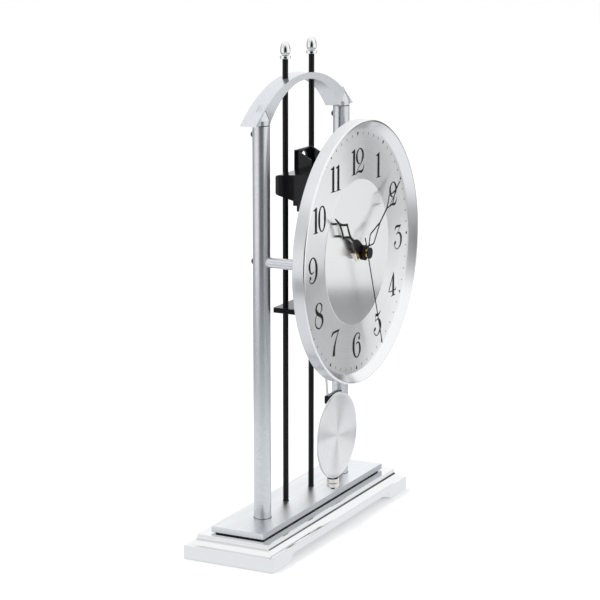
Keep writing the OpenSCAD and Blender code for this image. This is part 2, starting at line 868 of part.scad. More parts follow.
module minutes_wheel() {
    color("ivory")
    wheel_pair(minutes_wheel_at, step_teeth, fine_module, layer(5), to_minutes_rotor,
        train_pinion, train_module, layer(3), to_minutes_wheel + 180);
}

module third_wheel() {
    color("ivory")
    wheel_pair(third_at, train_teeth, train_module, layer(3), to_minutes_wheel + 180 / train_teeth,
        train_pinion, train_module, layer(2), to_third + 180);
}

module centre_wheel() {
    tip_y = minute_blade_y - 0.4;
    color("ivory")
    difference() {
        union() {
            gear(centre_at, train_teeth, train_module, layer(2), wheel_t, to_third + 180 / train_teeth);
            gear(centre_at, cannon_teeth, motion_module, layer(1), pinion_t, to_motion);
            pin_y(centre_at, minute_tube_r, tip_y, layer(2) + wheel_t - tip_y);
        }
        pin_y(centre_at, second_tube_r + fit, tip_y - 1, 30);
    }
}

module motion_wheel() {
    color("ivory")
    wheel_pair(motion_at, motion_teeth, motion_module, layer(1), to_motion + 180 + 180 / motion_teeth,
        motion_pinion, hour_module, layer(0), to_motion + 180);
}

module hour_wheel() {
    tip_y = hour_blade_y - 0.3;
    color("ivory")
    difference() {
        union() {
            gear(centre_at, hour_teeth, hour_module, layer(0), wheel_t, to_motion + 180 / hour_teeth);
            pin_y(centre_at, hour_tube_r, tip_y, layer(0) + wheel_t - tip_y);
        }
        pin_y(centre_at, minute_tube_r + fit, tip_y - 1, 20);
    }
}

// ---- hands ----

// half width of each hand at distance r from its axis
function peak(r, from, top, to, power) =
    r < top ? pow(clamp((r - from) / (top - from)), power) : pow(clamp((to - r) / (to - top)), power);
function hour_half(r) = r < 22 ? 1 + 3.15 * smooth((20 - r) / 9)
    : 1 + 4.9 * peak(r, 23, 34, 45.5, 1.45) - 0.5 * clamp((r - 44) / 9);
function minute_half(r) = 0.6 + 0.25 * clamp((30 - r) / 20) + 4.3 * peak(r, 7, 13.5, 29, 0.9)
    + 4.7 * peak(r, 43, 52, 62.5, 1.35) - 0.2 * clamp((r - 60) / 11);

module blade(points, y0, at, thick) {
    from_front(y0, thick) translate(centre_at) rotate(90 - at) polygon(mirrored(points));
}

module hour_hand() {
    stroke = 1.8;
    color("black")
    difference() {
        union() {
            blade([for (r = [4:1:hour_len]) [r, hour_half(r)]], hour_blade_y, hour_at, blade_t);
            pin_y(centre_at, hour_boss_r, hour_blade_y - boss_lip, boss_t);
        }
        blade([for (r = [26.5:1:42.5]) [r, max(0.05, hour_half(r) - stroke)]], hour_blade_y - 1, hour_at, 3);
        pin_y(centre_at, hour_tube_r + 0.02, hour_blade_y - 2, 5);
    }
}

module minute_hand() {
    stroke = 1.05;
    color("black")
    difference() {
        union() {
            blade([for (r = [4:1:minute_len]) [r, minute_half(r)]], minute_blade_y, minute_at, blade_t);
            pin_y(centre_at, minute_boss_r, minute_blade_y - boss_lip, boss_t);
        }
        blade([for (r = [8.5:1:26.5]) [r, max(0.05, minute_half(r) - stroke)]], minute_blade_y - 1, minute_at, 3);
        blade([for (r = [45:1:60]) [r, max(0.05, minute_half(r) - stroke)]], minute_blade_y - 1, minute_at, 3);
        pin_y(centre_at, minute_tube_r + 0.02, minute_blade_y - 2, 5);
    }
}

module second_hand() {
    color("black")
    difference() {
        union() {
            blade([[-12, 0.6], [second_len, 0.4]], second_blade_y, second_at, 0.3);
            pin_y(centre_at, second_cap_r, base_y - cap_reach, second_cap_t);
            pin_y(centre_at, second_neck_r, base_y - cap_reach, second_blade_y + 0.3 - base_y + cap_reach);
        }
        pin_y(centre_at, second_tube_r + 0.02, second_blade_y + 0.05, 5);
    }
}

// ---- buttons ----

module button(z) {
    color("dimgray")
    union() {
        pin_y([button_x, z], button_r, case_back_y - 2.6, 3.6);
        pin_y([button_x, z], button_r + 0.9, case_back_y - 2.6, 1);
    }
}

module set_button() button(button_z[1]);
module signal_button() button(button_z[0]);

// ---- pendulum ----

module pivot_pin() {
    color("silver") {
        pin_y([0, pivot_z], pivot_pin_r, pendulum_y - 7, 9.5);
        pin_y([0, pivot_z], 2, pendulum_y + 1.4, 0.8);
    }
}

module pendulum_hanger() {
    y0 = pendulum_y - stem_t / 2;
    color("black")
    difference() {
        union() {
            from_front(y0, stem_t) {
                translate([0, pivot_z]) circle(r = 4);
                translate([-stem_half, hanger_bar_z]) square([2 * stem_half, pivot_z - hanger_bar_z]);
                translate([0, swing_coil_z]) circle(r = swing_magnet_r + 1.4);
                translate([-wire_top_x - 2, hanger_bar_z - 2]) square([2 * wire_top_x + 4, 6]);
            }
        }
        pin_y([0, pivot_z], pivot_hole_r, y0 - 1, 5);
        pin_y([0, swing_coil_z], swing_magnet_r + fit, y0 - 1, 5);
        both_sides() wire_path(wire_r + fit);
    }
}

module wire_path(r) {
    run = [wire_top_x - wire_low_x, hanger_bar_z + 1 - wire_low_z + 3];
    length = sqrt(run[0] * run[0] + run[1] * run[1]);
    translate([wire_low_x, pendulum_y, wire_low_z - 3]) rotate([0, atan2(run[0], run[1]), 0])
        cylinder(r = r, h = length, $fn = 32);
}

module pendulum_magnet() {
    color("silver") pin_y([0, swing_coil_z], swing_magnet_r, pendulum_y - stem_t / 2, stem_t);
}

module pendulum_wires() {
    color("dimgray") both_sides() wire_path(wire_r);
}

module wire_holder() {
    y0 = pendulum_y - 1.6;
    color("black")
    difference() {
        union() {
            from_front(y0, 3.2)
                polygon([[-10.6, wire_low_z + 1], [-10.6, wire_low_z - 4], [-3, holder_z - 7],
                    [3, holder_z - 7], [10.6, wire_low_z - 4], [10.6, wire_low_z + 1]]);
            translate([0, pendulum_y, thread_end_z]) cylinder(r = thread_r, h = holder_z - thread_end_z);
        }
        both_sides() wire_path(wire_r + fit);
    }
}

module bob() {
    rim = 0.7;
    color("silver")
    translate([0, bob_y, bob_z]) rotate([-90, 0, 0])
        rotate_extrude($fn = 120) polygon([[0, 0.35], [bob_dia / 2 - 2, 0.35], [bob_dia / 2 - rim, 0],
            [bob_dia / 2 - 0.2, 0], [bob_dia / 2, 0.25], [bob_dia / 2, bob_t - 0.2],
            [bob_dia / 2 - 0.2, bob_t], [0, bob_t]]);
}

module bob_guide() {
    color("gray")
    difference() {
        block([-3.4, bob_y + bob_t, guide_z0], [3.4, pendulum_y + 2.7, guide_z1]);
        translate([0, pendulum_y, guide_z0 - 1]) cylinder(r = thread_r + fit, h = guide_z1);
    }
}

module rating_nuts() {
    collar = 0.15;
    pitch = rating_nut_h + 2 * collar;
    color("silver")
    for (k = [0, 1]) translate([0, pendulum_y, guide_z0 - fit - collar - rating_nut_h - k * pitch])
        difference() {
            union() {
                cylinder(r = nut_r, h = rating_nut_h);
                translate([0, 0, -collar]) cylinder(r = nut_r - 0.6, h = pitch);
            }
            translate([0, 0, -1]) cylinder(r = thread_r + fit, h = rating_nut_h + 2);
        }
}

foot_pads();
base_plinth();
base_moulding();
base_spacer();
base_plate();
base_screws();
rod_nuts();
column_left();
column_right();
column_plugs();
arch();
arch_screws();
rod_left();
rod_right();
rod_finials();
standoff_left();
standoff_right();
standoff_screws();
dial_studs();
dial_bezel();
dial_plate();
dial_centre_disc();
centre_bush();
centre_nut();
case_front();
case_back();
drive_housing();
drive_cover();
battery();
battery_contacts();
circuit_board();
train_bridge();
seconds_coil();
seconds_stator();
seconds_rotor();
seconds_wheel();
second_arbor();
minutes_coil();
minutes_stator();
minutes_rotor();
minutes_wheel();
third_wheel();
centre_wheel();
motion_wheel();
hour_wheel();
hour_hand();
minute_hand();
second_hand();
set_button();
signal_button();
antenna();
pendulum_coil();
pivot_pin();
pendulum_hanger();
pendulum_magnet();
pendulum_wires();
wire_holder();
bob();
bob_guide();
rating_nuts();
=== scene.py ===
import json
import math

import bmesh
import bpy
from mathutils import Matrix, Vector


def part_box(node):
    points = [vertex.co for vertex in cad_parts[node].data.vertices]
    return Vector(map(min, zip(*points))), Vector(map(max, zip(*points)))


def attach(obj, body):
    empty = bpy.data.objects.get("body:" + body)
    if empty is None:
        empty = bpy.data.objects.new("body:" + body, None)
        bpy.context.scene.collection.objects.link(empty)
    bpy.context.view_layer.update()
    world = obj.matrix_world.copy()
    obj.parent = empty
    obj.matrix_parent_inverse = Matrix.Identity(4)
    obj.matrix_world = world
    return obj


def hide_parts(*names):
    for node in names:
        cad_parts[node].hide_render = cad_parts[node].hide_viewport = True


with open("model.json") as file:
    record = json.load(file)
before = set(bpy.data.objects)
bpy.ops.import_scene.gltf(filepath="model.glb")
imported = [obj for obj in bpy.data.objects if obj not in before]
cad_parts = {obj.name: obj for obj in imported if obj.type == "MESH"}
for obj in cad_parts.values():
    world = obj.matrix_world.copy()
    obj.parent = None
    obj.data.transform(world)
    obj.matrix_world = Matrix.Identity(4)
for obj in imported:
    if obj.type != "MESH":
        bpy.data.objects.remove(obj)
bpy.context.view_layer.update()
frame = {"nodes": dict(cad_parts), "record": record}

# Looks of a mantel clock with a free pendulum. Metres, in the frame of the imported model:
# +Z up, the dial faces -Y, the origin on the table below the middle of the clock.
MM = 0.001


def middle(node):
    low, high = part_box(node)
    return (low + high) / 2


DIAL = middle("dial_plate")
DIAL_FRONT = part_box("dial_plate")[0].y
BOB = middle("bob")
CLOCK_MIDDLE = Vector((0, 0, 0.17))
SLOT_OF = {s["node"]: s["material_slot"] for s in frame["record"]["subparts"]}
BODY_OF = {n: b for b, group in frame["record"]["behaviour"]["bodies"].items() for n in group}


# ---- camera, stage and light ----

def add_camera():
    data = bpy.data.cameras.new("camera")
    data.lens = 132.35
    data.sensor_width = 36
    camera = bpy.data.objects.new("camera", data)
    camera.location = (-1.3632, -0.6843, 0.4965)
    camera.rotation_euler = (math.radians(90 - 12.23), 0, math.radians(-63.0))
    bpy.context.scene.collection.objects.link(camera)
    bpy.context.scene.camera = camera


def add_light(name, place, size, power):
    data = bpy.data.lights.new(name, "AREA")
    data.shape = "RECTANGLE"
    data.size, data.size_y = size
    data.energy = power
    light = bpy.data.objects.new(name, data)
    light.location = place
    light.rotation_euler = (CLOCK_MIDDLE - Vector(place)).to_track_quat("-Z", "Y").to_euler()
    light.visible_camera = False
    light.visible_glossy = False
    bpy.context.scene.collection.objects.link(light)


def add_world():
    """A white room as round and polished metal sees it: dark flags and small dark spots."""
    world = bpy.data.worlds.new("room")
    world.use_nodes = True
    tree = world.node_tree
    back = tree.nodes["Background"]
    coords = tree.nodes.new("ShaderNodeTexCoord")
    # each direction, the cosines of the angle from it where the flag begins and is full, its brightness
    flags = (
        ((-0.87, -0.50, -0.08), 0.70, 0.94, 0.02),
        ((0.99, -0.08, -0.02), 0.93, 0.965, 0.04),
        ((0.16, 0.97, -0.15), 0.75, 0.95, 0.40),
        ((0.886, -0.46, 0.06), 0.988, 0.995, 0.05),
        ((-0.80, 0.42, 0.42), 0.93, 0.99, 0.72),
    )
    total = None
    for direction, begins, full, bright in flags:
        toward = tree.nodes.new("ShaderNodeVectorMath")
        toward.operation = "DOT_PRODUCT"
        toward.inputs[1].default_value = Vector(direction).normalized()
        tree.links.new(coords.outputs["Generated"], toward.inputs[0])
        shade = tree.nodes.new("ShaderNodeMapRange")
        shade.inputs["From Min"].default_value = begins
        shade.inputs["From Max"].default_value = full
        shade.inputs["To Min"].default_value = 1
        shade.inputs["To Max"].default_value = bright
        tree.links.new(toward.outputs["Value"], shade.inputs["Value"])
        if total is None:
            total = shade.outputs["Result"]
            continue
        both = tree.nodes.new("ShaderNodeMath")
        both.operation = "MULTIPLY"
        tree.links.new(total, both.inputs[0])
        tree.links.new(shade.outputs["Result"], both.inputs[1])
        total = both.outputs["Value"]
    tree.links.new(total, back.inputs["Color"])
    back.inputs["Strength"].default_value = 1.12
    bpy.context.scene.world = world


# ---- materials ----

class Finish:
    """A procedural material: a principled shader whose colour, roughness and bump follow noise."""

    def __init__(self, name, colour, metallic=0.0, rough=0.5, coat=0.0, specular=0.5):
        self.material = bpy.data.materials.new(name)
        self.material.use_nodes = True
        self.tree = self.material.node_tree
        self.shader = self.tree.nodes["Principled BSDF"]
        self.colour = colour
        self.rough = rough
        self.height = None
        self.shader.inputs["Base Color"].default_value = (*colour, 1)
        self.shader.inputs["Metallic"].default_value = metallic
        self.shader.inputs["Roughness"].default_value = rough
        self.shader.inputs["Coat Weight"].default_value = coat
        self.shader.inputs["Coat Roughness"].default_value = 0.08
        self.shader.inputs["Specular IOR Level"].default_value = specular
        self.place = self.node("ShaderNodeTexCoord").outputs["Object"]

    def node(self, kind, **settings):
        made = self.tree.nodes.new(kind)
        for key, value in settings.items():
            setattr(made, key, value)
        return made

    def link(self, source, target):
        self.tree.links.new(source, target)

    def vector(self, operation, a, b=None):
        made = self.node("ShaderNodeVectorMath", operation=operation)
        for socket, value in zip(made.inputs, (a, b)):
            if isinstance(value, (tuple, Vector)):
                socket.default_value = value
            elif value is not None:
                self.link(value, socket)
        return made.outputs["Value" if operation in ("LENGTH", "DOT_PRODUCT") else "Vector"]

    def scaled(self, scale):
        """The place on the piece, stretched: large numbers make fine detail along that axis."""
        return self.vector("MULTIPLY", self.place, scale)

    def turned(self, centre, rings, arcs):
        """Noise space for a face turned about the Y axis through centre: rings per metre, short arcs."""
        flat = self.vector("MULTIPLY", self.vector("SUBTRACT", self.place, centre), (1, 0, 1))
        radius = self.vector("LENGTH", flat)
        out = self.vector("SCALE", self.vector("NORMALIZE", flat))
        out.node.inputs["Scale"].default_value = arcs
        join = self.node("ShaderNodeCombineXYZ")
        grow = self.node("ShaderNodeMath", operation="MULTIPLY")
        grow.inputs[1].default_value = rings
        self.link(radius, grow.inputs[0])
        self.link(grow.outputs[0], join.inputs[1])
        self.radial = self.vector("NORMALIZE", flat)
        return self.vector("ADD", out, join.outputs[0])

    def noise(self, space, detail=2.0, blur=0.5):
        made = self.node("ShaderNodeTexNoise")
        made.inputs["Scale"].default_value = 1
        made.inputs["Detail"].default_value = detail
        made.inputs["Roughness"].default_value = blur
        self.link(space, made.inputs["Vector"])
        return made.outputs["Fac"]

    def spots(self, space):
        made = self.node("ShaderNodeTexVoronoi")
        made.inputs["Scale"].default_value = 1
        self.link(space, made.inputs["Vector"])
        bright = self.node("ShaderNodeRGBToBW")
        self.link(made.outputs["Color"], bright.inputs["Color"])
        return bright.outputs["Val"]

    def ranged(self, fac, low, high):
        """Spreads 0.3 to 0.7, where most of a noise lies, over low to high, and clips the rest."""
        made = self.node("ShaderNodeMapRange")
        for name, value in (("From Min", 0.3), ("From Max", 0.7), ("To Min", low), ("To Max", high)):
            made.inputs[name].default_value = value
        self.link(fac, made.inputs["Value"])
        return made.outputs["Result"]

    def tint(self, fac, spread):
        """The colour goes from darker to lighter with the noise, by spread either way."""
        mix = self.node("ShaderNodeMix", data_type="RGBA")
        low = [c * (1 - spread) for c in self.colour]
        high = [min(1, c * (1 + spread)) for c in self.colour]
        mix.inputs["A"].default_value = (*low, 1)
        mix.inputs["B"].default_value = (*high, 1)
        self.link(self.ranged(fac, 0, 1), mix.inputs["Factor"])
        self.link(mix.outputs["Result"], self.shader.inputs["Base Color"])
        return self

    def vary_rough(self, fac, spread):
        self.link(self.ranged(fac, self.rough - spread, self.rough + spread),
                  self.shader.inputs["Roughness"])
        return self

    def bump(self, fac, height):
        made = self.node("ShaderNodeBump")
        made.inputs["Distance"].default_value = height
        made.inputs["Strength"].default_value = 1
        self.link(fac, made.inputs["Height"])
        if self.height is not None:
            self.link(self.height, made.inputs["Normal"])
        self.height = made.outputs["Normal"]
        self.link(self.height, self.shader.inputs["Normal"])
        return self

    def brushed(self, amount, across):
        """Grooves spread the light across themselves: across is that direction on the piece."""
        turn = self.node("ShaderNodeVectorTransform", vector_type="VECTOR",
                         convert_from="OBJECT", convert_to="WORLD")
        self.link(across, turn.inputs["Vector"])
        self.link(turn.outputs["Vector"], self.shader.inputs["Tangent"])
        self.shader.inputs["Anisotropic"].default_value = amount
        return self

    def across_x(self):
        """The direction on each face that is square to lines along X."""
        normal = self.node("ShaderNodeTexCoord").outputs["Normal"]
        # a little off X, so that a face square to X has a direction too
        return self.vector("CROSS_PRODUCT", normal, (1, 0.02, 0.05))


def smooth_metal(name, colour, rough, smudge=0.03):
    made = Finish(name, colour, metallic=1.0, rough=rough)
    cloud = made.noise(made.scaled((60, 60, 60)), detail=4)
    grain = made.noise(made.scaled((2200, 2200, 2200)))
    made.tint(cloud, 0.04).vary_rough(cloud, smudge).bump(grain, 1.5e-6)
    return made.material


def lined_metal(name, colour, rough, amount, spread, height):
    """Metal brushed along X."""
    made = Finish(name, colour, metallic=1.0, rough=rough)
    lines = made.noise(made.scaled((14, 2600, 2600)), detail=3)
    cloud = made.noise(made.scaled((25, 60, 60)), detail=3)
    made.tint(lines, spread).vary_rough(cloud, 0.04).bump(lines, height)
    made.brushed(amount, made.across_x())
    return made.material


def turned_metal(name, colour, rough, amount, centre, rings, spread, height):
    """Metal turned or brushed in circles about centre."""
    made = Finish(name, colour, metallic=1.0, rough=rough)
    lines = made.noise(made.turned(centre, rings, 2.5), detail=3, blur=0.6)
    cloud = made.noise(made.scaled((30, 30, 30)), detail=3)
    made.tint(lines, spread).vary_rough(cloud, rough / 12).bump(lines, height)
    made.brushed(amount, made.radial)
    return made.material


def upright_metal(name, colour, rough, amount, spread, height):
    """A flat face brushed up and down, which smears what it reflects sideways."""
    made = Finish(name, colour, metallic=1.0, rough=rough)
    lines = made.noise(made.scaled((2400, 1, 40)), detail=3)
    cloud = made.noise(made.scaled((30, 30, 30)), detail=3)
    across = made.node("ShaderNodeCombineXYZ")
    across.inputs["X"].default_value = 1
    made.tint(lines, spread).vary_rough(cloud, rough / 12).bump(lines, height)
    made.brushed(amount, across.outputs["Vector"])
    return made.material


def metallic_paint(name, colour):
    made = Finish(name, colour, metallic=0.85, rough=0.24)
    flakes = made.spots(made.scaled((1300, 1300, 1300)))
    cloud = made.noise(made.scaled((35, 35, 35)), detail=3)
    made.tint(flakes, 0.035).vary_rough(cloud, 0.015).bump(flakes, 0.05e-6)
    return made.material


def plain(name, colour, rough, spread=0.1, grain=900, height=4e-6, coat=0.0, metallic=0.0, specular=0.5):
    """Plastic, lacquer, print, ferrite, magnet or floor: a fine grain, and a gloss that varies."""
    made = Finish(name, colour, metallic=metallic, rough=rough, coat=coat, specular=specular)
    fine = made.noise(made.scaled((grain, grain, grain)), detail=3)
    cloud = made.noise(made.scaled((45, 45, 45)), detail=4)
    made.tint(cloud, spread).vary_rough(cloud, min(0.06, rough / 3)).bump(fine, height)
    return made.material


def felt(name, colour):
    made = Finish(name, colour, rough=0.95)
    fibres = made.noise(made.scaled((2500, 2500, 900)), detail=6, blur=0.7)
    made.tint(fibres, 0.45).bump(fibres, 8e-5)
    made.shader.inputs["Sheen Weight"].default_value = 0.4
    return made.material


def winding(name, colour):
    made = Finish(name, colour, metallic=0.7, rough=0.35)
    turns = made.node("ShaderNodeTexWave", wave_type="BANDS", bands_direction="Z")
    turns.inputs["Scale"].default_value = 900
    made.link(made.place, turns.inputs["Vector"])
    made.tint(turns.outputs["Fac"], 0.3).bump(turns.outputs["Fac"], 3e-5)
    return made.material


def printed_board(name, colour):
    made = Finish(name, colour, rough=0.35, coat=0.3)
    tracks = made.node("ShaderNodeTexBrick")
    tracks.inputs["Scale"].default_value = 260
    tracks.inputs["Mortar Size"].default_value = 0.09
    made.link(made.scaled((1, 1, 1)), tracks.inputs["Vector"])
    made.tint(tracks.outputs["Fac"], 0.35)
    return made.material


MATERIALS = {
    "polished_aluminium": lined_metal("polished_aluminium", (0.80, 0.81, 0.82), 0.10, 0.3, 0.015, 0.25e-6),
    "brushed_aluminium": lined_metal("brushed_aluminium", (0.76, 0.78, 0.80), 0.34, 0.75, 0.12, 3e-6),
    "silver_paint": metallic_paint("silver_paint", (0.64, 0.66, 0.69)),
    "satin_bezel": turned_metal("satin_bezel", (0.82, 0.83, 0.84), 0.20, 0.4, DIAL, 2600, 0.02, 0.2e-6),
    "dial_silver": turned_metal("dial_silver", (0.88, 0.89, 0.90), 0.36, 1.0, DIAL, 2300, 0.05, 3e-6),
    "disc_silver": upright_metal("disc_silver", (0.92, 0.93, 0.935), 0.19, 1.0, 0.015, 0.2e-6),
    "bob_silver": turned_metal("bob_silver", (0.88, 0.89, 0.90), 0.34, 1.0, BOB, 2300, 0.05, 3e-6),
    "chrome": smooth_metal("chrome", (0.80, 0.81, 0.82), 0.07, 0.02),
    "nickel": smooth_metal("nickel", (0.78, 0.76, 0.71), 0.16),
    "dark_steel": smooth_metal("dark_steel", (0.23, 0.17, 0.13), 0.30, 0.06),
    "steel": smooth_metal("steel", (0.60, 0.61, 0.62), 0.28, 0.06),
    "black_lacquer": plain("black_lacquer", (0.006, 0.006, 0.007), 0.34, height=2e-6, specular=0.2),
    "hand_black": plain("hand_black", (0.006, 0.006, 0.007), 0.42, height=2e-6, specular=0.15),
    "black_plastic": plain("black_plastic", (0.007, 0.007, 0.009), 0.12, height=0.4e-6, specular=0.25),
    "shadow_black": plain("shadow_black", (0.03, 0.03, 0.033), 0.6, height=1e-5),
    "felt": felt("felt", (0.06, 0.06, 0.065)),
    "brass": smooth_metal("brass", (0.80, 0.55, 0.22), 0.20, 0.05),
    "wheel_plastic": plain("wheel_plastic", (0.83, 0.80, 0.72), 0.45),
    "magnet": plain("magnet", (0.30, 0.29, 0.29), 0.42, metallic=0.8, grain=2400, height=1e-5),
    "board_green": printed_board("board_green", (0.03, 0.17, 0.07)),
    "copper_winding": winding("copper_winding", (0.52, 0.19, 0.07)),
    "ferrite": plain("ferrite", (0.09, 0.08, 0.075), 0.55, height=1.5e-5),
    "cell_sleeve": plain("cell_sleeve", (0.05, 0.20, 0.40), 0.28, coat=0.4),
    "button_plastic": plain("button_plastic", (0.62, 0.62, 0.60), 0.42),
}
DIAL_PRINT = plain("dial_print", (0.012, 0.012, 0.014), 0.6, spread=0.2, height=1e-6, specular=0.1)
# painted shade: a darker metal for the plate's front and back faces, which stands for the shade on them
SHADED_PLATE_FACE = lined_metal("plate_face_painted_shade", (0.46, 0.48, 0.50), 0.30, 0.5, 0.06, 1e-6)
# painted shade: a darker copy of the bezel's satin metal for its outer wall, which stands for the tone that
# side takes from the light
SHADED_BEZEL_WALL = turned_metal("bezel_wall", (0.70, 0.71, 0.73), 0.26, 0.4, DIAL, 2600, 0.02, 0.2e-6)
TRACK_PRINT = plain("track_print", (0.10, 0.10, 0.105), 0.6, spread=0.2, height=1e-6, specular=0.1)


# ---- making meshes ----

def finish_piece(name, bm, body, slot, replaces=(), material=None, angle=35):
    mesh = bpy.data.meshes.new(name)
    bmesh.ops.recalc_face_normals(bm, faces=bm.faces)
    bm.to_mesh(mesh)
    bm.free()
    mesh.shade_smooth()
    mesh.set_sharp_from_angle(angle=math.radians(angle))
    mesh.materials.append(material or MATERIALS[slot])
    made = bpy.data.objects.new(name, mesh)
    bpy.context.scene.collection.objects.link(made)
    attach(made, body)
    if replaces:
        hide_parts(*replaces)
    return made


def mark_outline(bm):
    """Picks the sharp edges round the front and back faces, which are the ones to be rounded."""
    weight = bm.edges.layers.float.new("bevel_weight_edge")
    front = min(vert.co.y for vert in bm.verts)
    back = max(vert.co.y for vert in bm.verts)
    for edge in bm.edges:
        ys = [vert.co.y for vert in edge.verts]
        flush = max(ys) < front + 0.02 * MM or min(ys) > back - 0.02 * MM
        if flush and edge.calc_face_angle(0) > math.radians(60):
            edge[weight] = 1


def softened(node, width):
    """A copy of a CAD node with its sharp edges rounded, which stands for it."""
    bm = bmesh.new()
    bm.from_mesh(frame["nodes"][node].data)
    bmesh.ops.remove_doubles(bm, verts=bm.verts, dist=2e-6)
    if node not in BORED:
        bmesh.ops.dissolve_limit(bm, angle_limit=math.radians(0.6), verts=bm.verts, edges=bm.edges)
    if node in OUTLINED:
        mark_outline(bm)
    made = finish_piece("soft_" + node, bm, BODY_OF[node], SLOT_OF[node], (node,), angle=24)
    bevel = made.modifiers.new("rounded", "BEVEL")
    bevel.width = width
    bevel.segments = 2
    bevel.limit_method = "WEIGHT" if node in OUTLINED else "ANGLE"
    bevel.angle_limit = math.radians(28)
    bevel.use_clamp_overlap = True
    bevel.harden_normals = True
    if node == "base_plate":
        made.data.materials.append(MATERIALS["polished_aluminium"])
        made.data.materials.append(SHADED_PLATE_FACE)
        bevel.material = 1
        # the faces square to Y take the darker metal: painted shade
        for face in made.data.polygons:
            if abs(face.normal.y) > 0.9:
                face.material_index = 2
    if node == "dial_bezel":
        # the outward-facing wall faces take the darker copy: painted shade
        made.data.materials.append(SHADED_BEZEL_WALL)
        for face in made.data.polygons:
            if abs(face.normal.y) < 0.2 and (face.center - DIAL).dot(face.normal) > 0:
                face.material_index = 1
    even = made.modifiers.new("even", "WEIGHTED_NORMAL")
    even.keep_sharp = True
    return made


def lathe(bm, profile, centre, axis="Y", segments=128):
    """Turns a closed outline of (radius, height) about an axis; points on the axis close it."""
    rings = []
    for radius, height in profile:
        ring = []
        count = segments if radius > 0 else 1
        for i in range(count):
            a = 2 * math.pi * i / segments
            across, up = radius * math.cos(a), radius * math.sin(a)
            offset = (across, height, up) if axis == "Y" else (across, up, height)
            ring.append(bm.verts.new(Vector(centre) + Vector(offset)))
        rings.append(ring)
    for a, b in zip(rings, rings[1:] + rings[:1]):
        if len(a) == 1 and len(b) == 1:
            continue
        for i in range(segments):
            j = (i + 1) % segments
            corners = [a[i % len(a)], a[j % len(a)], b[j % len(b)], b[i % len(b)]]
            bm.faces.new(list(dict.fromkeys(corners)))


def turned_piece(name, profile, centre, body, slot, axis="Y", segments=128, **more):
    bm = bmesh.new()
    lathe(bm, profile, centre, axis, segments)
    return finish_piece(name, bm, body, slot, **more)


def slab(bm, outline, front, back):
    """A closed prism between two planes of Y from an outline of (x, z) points."""
    near = [bm.verts.new((x, front, z)) for x, z in outline]
    far = [bm.verts.new((x, back, z)) for x, z in outline]
    bm.faces.new(near)
    bm.faces.new(far[::-1])
    for i in range(len(outline)):
        j = (i + 1) % len(outline)
        bm.faces.new((near[i], far[i], far[j], near[j]))


def spline(points, steps=6):
    """Points along a smooth line through (x, z, width)."""
    out = []
    for i in range(len(points) - 1):
        p = [Vector(points[max(0, min(len(points) - 1, i + k))]) for k in (-1, 0, 1, 2)]
        for s in range(steps):
            t = s / steps
            out.append(0.5 * (2 * p[1] + (p[2] - p[0]) * t + (2 * p[0] - 5 * p[1] + 4 * p[2] - p[3]) * t ** 2
                              + (3 * p[1] - p[0] - 3 * p[2] + p[3]) * t ** 3))
    return out + [Vector(points[-1])]


def pen_stroke(bm, points, centre, front, back):
    """A stroke of ink with a changing width, as a closed slab."""
    line = spline(points)
    sides = ([], [])
    for i, point in enumerate(line):
        along = (line[min(i + 1, len(line) - 1)] - line[max(i - 1, 0)]).xy.normalized()
        half = max(0.12, point.z / 2)
        for side, sign in zip(sides, (1, -1)):
            x = point.x - sign * along.y * half
            z = point.y + sign * along.x * half
            side.append((centre[0] + x * MM, centre[1] + z * MM))
    rows = [[bm.verts.new((x, y, z)) for x, z in side] for side in sides for y in (front, back)]
    left_front, left_back, right_front, right_back = rows
    around = (left_front, left_back, right_back, right_front)
    for a, b in zip(around, around[1:] + around[:1]):
        for i in range(len(line) - 1):
            bm.faces.new((a[i], a[i + 1], b[i + 1], b[i]))
    for i in (0, -1):
        bm.faces.new((left_front[i], right_front[i], right_back[i], left_back[i]))


# ---- numbers on the dial: strokes of (x, z, width) and round ends of (x, z, radius), in millimetres ----

SIX = ([[(5.3, 5.8, 0.9), (4.1, 8.0, 0.8), (1.2, 8.8, 0.8), (-2.1, 7.6, 1.6), (-4.5, 4.7, 2.8),
         (-5.1, 1.1, 3.3), (-4.8, -2.5, 3.0), (-3.2, -6.2, 1.9), (-0.1, -8.5, 0.9), (3.3, -7.5, 1.5),
         (5.2, -4.7, 2.5), (5.3, -2.2, 2.7), (4.2, 0.7, 1.7), (1.9, 2.0, 1.0), (-1.2, 1.3, 0.6)]],
       [(3.9, 4.8, 1.25)])
ONE = ([[(-4.0, 7.3, 0.4), (-2.4, 7.3, 1.2), (-0.6, 7.7, 1.7), (0.7, 8.0, 1.9)],
        [(-0.05, 8.0, 3.0), (-0.1, 3.0, 3.2), (-0.1, -3.0, 3.3), (-0.1, -8.2, 3.3)],
        [(0.9, 9.0, 1.0), (0.95, 7.0, 1.0)],
        [(-3.7, -8.75, 0.35), (-1.6, -8.4, 0.8), (0, -8.1, 1.6), (1.6, -8.4, 0.8), (3.7, -8.75, 0.35)]], [])
